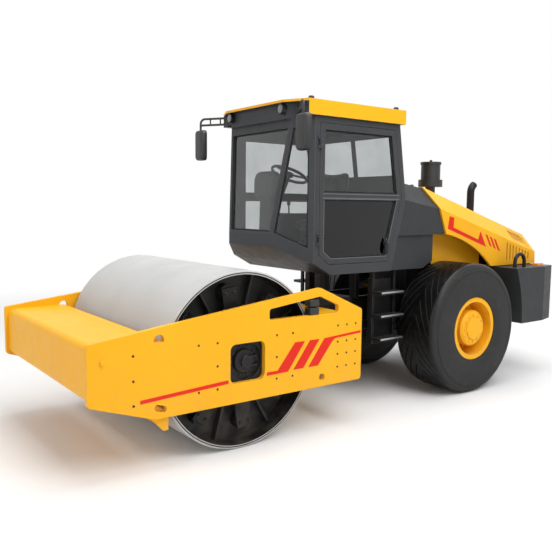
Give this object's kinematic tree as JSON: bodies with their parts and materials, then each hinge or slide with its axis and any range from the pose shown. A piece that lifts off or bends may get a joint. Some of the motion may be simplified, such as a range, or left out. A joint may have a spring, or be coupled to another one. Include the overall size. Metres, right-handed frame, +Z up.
{
  "type": "single drum road roller",
  "caption": "Articulated road roller with a smooth front drum in a plate frame, a glazed cab, a sloped engine hood and grooved rear tyres.",
  "frame": {"origin": "on the ground under the middle of the machine's length and width", "axes": "+X forward to the drum, +Y to the machine's left, +Z up"},
  "size_m": [6.4, 2.348, 3.24],
  "materials": {
    "yellow_paint": "gloss enamel",
    "charcoal_paint": "satin enamel",
    "drum_steel": "satin grey primer",
    "black_paint": "satin enamel",
    "rod_chrome": "polished",
    "tyre_rubber": "matt",
    "buffer_rubber": "matt",
    "cab_glazing": "light tint",
    "seat_cloth": "woven",
    "dark_plastic": "fine grain",
    "lamp_lens": "clear lens"
  },
  "bodies": {
    "rear": {"rear_frame": "black_paint", "rear_axle": "black_paint", "cab_wall_left": "charcoal_paint", "cab_wall_right": "charcoal_paint", "cab_front": "charcoal_paint", "cab_rear": "charcoal_paint", "cab_floor": "black_paint", "cab_glass": "cab_glazing", "cab_roof": "yellow_paint", "seat_base": "black_paint", "seat": "seat_cloth", "console": "dark_plastic", "steering_wheel": "dark_plastic", "cowl": "charcoal_paint", "bay_sides": "yellow_paint", "engine_block": "black_paint", "counterweight": "charcoal_paint", "tail_lamps": "lamp_lens", "tie_loops": "black_paint", "tanks": "black_paint", "ladders": "black_paint", "cab_mounts": "black_paint", "mirrors": "dark_plastic", "work_lamps": "lamp_lens"},
    "hood": {"hood": "yellow_paint", "pre_cleaner": "dark_plastic", "exhaust": "black_paint"},
    "door": {"door": "charcoal_paint", "door_glass": "cab_glazing"},
    "wheel_left": {"rim_left": "yellow_paint", "tyre_left": "tyre_rubber"},
    "wheel_right": {"rim_right": "yellow_paint", "tyre_right": "tyre_rubber"},
    "yoke": {"yoke": "black_paint"},
    "front_frame": {"side_plate_left": "yellow_paint", "side_plate_right": "yellow_paint", "front_beam": "yellow_paint", "rear_crossbeam": "yellow_paint", "drum_carriers": "black_paint", "scraper": "yellow_paint"},
    "drum": {"drum": "drum_steel", "drum_buffers": "buffer_rubber"},
    "steer_barrel_left": {"steer_barrel_left": "black_paint"},
    "steer_barrel_right": {"steer_barrel_right": "black_paint"},
    "steer_rod_left": {"steer_rod_left": "rod_chrome"},
    "steer_rod_right": {"steer_rod_right": "rod_chrome"}
  },
  "joints": [
    {"name": "steer", "type": "hinge", "parent": "rear", "child": "yoke", "pos_m": [0.14, 0, 0.78], "axis": [0, 0, -1], "range_deg": [-35, 35]},
    {"name": "oscillate", "type": "hinge", "parent": "yoke", "child": "front_frame", "pos_m": [0.14, 0, 0.78], "axis": [1, 0, 0], "range_deg": [-10, 10]},
    {"name": "drum_spin", "type": "hinge", "parent": "front_frame", "child": "drum", "pos_m": [1.75, 0, 0.8], "axis": [0, 1, 0], "continuous": true},
    {"name": "wheel_left_spin", "type": "hinge", "parent": "rear", "child": "wheel_left", "pos_m": [-1.47, 0.845, 0.76], "axis": [0, 1, 0], "continuous": true},
    {"name": "wheel_right_spin", "type": "hinge", "parent": "rear", "child": "wheel_right", "pos_m": [-1.47, -0.845, 0.76], "axis": [0, 1, 0], "continuous": true},
    {"name": "door_swing", "type": "hinge", "parent": "rear", "child": "door", "pos_m": [0.615, 0.757, 2.3], "axis": [0, 0, -1], "range_deg": [0, 90]},
    {"name": "hood_lift", "type": "hinge", "parent": "rear", "child": "hood", "pos_m": [-1.11566, 0, 2.41786], "axis": [0, 1, 0], "range_deg": [0, 55]},
    {"name": "barrel_left_swing", "type": "hinge", "parent": "rear", "child": "steer_barrel_left", "pos_m": [-0.76, 0.455, 0.8153], "axis": [0, 0, 1], "range_deg": [-4, 4]},
    {"name": "barrel_right_swing", "type": "hinge", "parent": "rear", "child": "steer_barrel_right", "pos_m": [-0.76, -0.455, 0.8153], "axis": [0, 0, 1], "range_deg": [-4, 4]},
    {"name": "rod_left_slide", "type": "slide", "parent": "steer_barrel_left", "child": "steer_rod_left", "axis": [0.995, -0.0995, 0], "range_m": [-0.213, 0.213]},
    {"name": "rod_right_slide", "type": "slide", "parent": "steer_barrel_right", "child": "steer_rod_right", "axis": [0.995, 0.0995, 0], "range_m": [-0.213, 0.213]}
  ],
  "couplings": [
    {"joint": "barrel_left_swing", "follows": "steer", "ratio": -0.0861},
    {"joint": "barrel_right_swing", "follows": "steer", "ratio": -0.0861},
    {"joint": "rod_left_slide", "follows": "steer", "m_per_rad": 0.3467},
    {"joint": "rod_right_slide", "follows": "steer", "m_per_rad": -0.3467}
  ]
}
